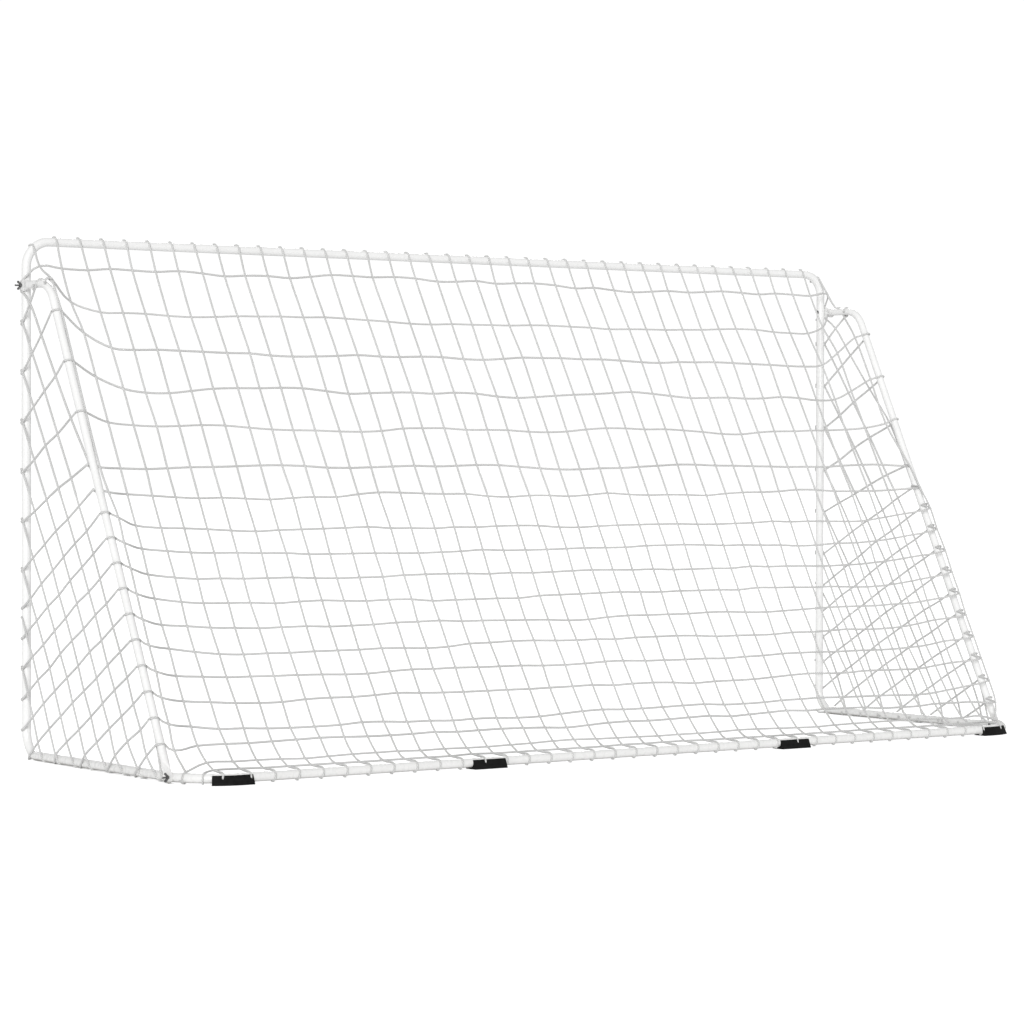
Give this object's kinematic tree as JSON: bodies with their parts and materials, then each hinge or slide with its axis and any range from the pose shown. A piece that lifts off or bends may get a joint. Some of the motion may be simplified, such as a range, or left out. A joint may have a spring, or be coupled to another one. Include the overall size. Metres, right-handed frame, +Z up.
{
  "type": "soccer goal frame",
  "caption": "Free-standing soccer goal: white steel tube frame, side stays held by bolts and wing nuts, rubber feet under the back bar, and a knotted cord net.",
  "frame": {"origin": "on the ground, in the middle of the goal's width and depth", "axes": "+Z up, the goal mouth faces -Y, +X along the crossbar to the right of someone who looks into the goal"},
  "size_m": [3.7156, 1.2239, 1.82],
  "materials": {
    "powder_coat": "gloss",
    "rubber": "matte",
    "dark_zinc": "satin",
    "net_cord": "matte"
  },
  "bodies": {
    "frame": {"crossbar_center": "powder_coat", "rear_bar_center": "powder_coat", "crossbar_left": "powder_coat", "upper_corner_left": "powder_coat", "upright_left": "powder_coat", "front_lower_bend_left": "powder_coat", "side_tube_left": "powder_coat", "rear_corner_left": "powder_coat", "rear_bar_left": "powder_coat", "stay_upper_left": "powder_coat", "stay_lower_left": "powder_coat", "inner_foot_left": "rubber", "outer_foot_left": "rubber", "upper_bolt_left": "dark_zinc", "lower_bolt_left": "dark_zinc", "net_side_left": "net_cord", "crossbar_right": "powder_coat", "upper_corner_right": "powder_coat", "upright_right": "powder_coat", "front_lower_bend_right": "powder_coat", "side_tube_right": "powder_coat", "rear_corner_right": "powder_coat", "rear_bar_right": "powder_coat", "stay_upper_right": "powder_coat", "stay_lower_right": "powder_coat", "inner_foot_right": "rubber", "outer_foot_right": "rubber", "upper_bolt_right": "dark_zinc", "lower_bolt_right": "dark_zinc", "net_side_right": "net_cord", "net_back": "net_cord"},
    "upper_wing_nut_left_body": {"upper_wing_nut_left": "dark_zinc"},
    "lower_wing_nut_left_body": {"lower_wing_nut_left": "dark_zinc"},
    "upper_wing_nut_right_body": {"upper_wing_nut_right": "dark_zinc"},
    "lower_wing_nut_right_body": {"lower_wing_nut_right": "dark_zinc"}
  },
  "joints": [
    {"name": "upper_wing_nut_left_spin", "type": "hinge", "parent": "frame", "child": "upper_wing_nut_left_body", "pos_m": [-1.814, -0.5915, 1.6495], "axis": [-1, 0, 0], "continuous": true},
    {"name": "lower_wing_nut_left_spin", "type": "hinge", "parent": "frame", "child": "lower_wing_nut_left_body", "pos_m": [-1.81213, 0.43813, 0.02121], "axis": [-0.989, 0.1478, 0], "continuous": true},
    {"name": "upper_wing_nut_right_spin", "type": "hinge", "parent": "frame", "child": "upper_wing_nut_right_body", "pos_m": [1.814, -0.5915, 1.6495], "axis": [1, 0, 0], "continuous": true},
    {"name": "lower_wing_nut_right_spin", "type": "hinge", "parent": "frame", "child": "lower_wing_nut_right_body", "pos_m": [1.81213, 0.43813, 0.02121], "axis": [0.989, 0.1478, 0], "continuous": true}
  ]
}
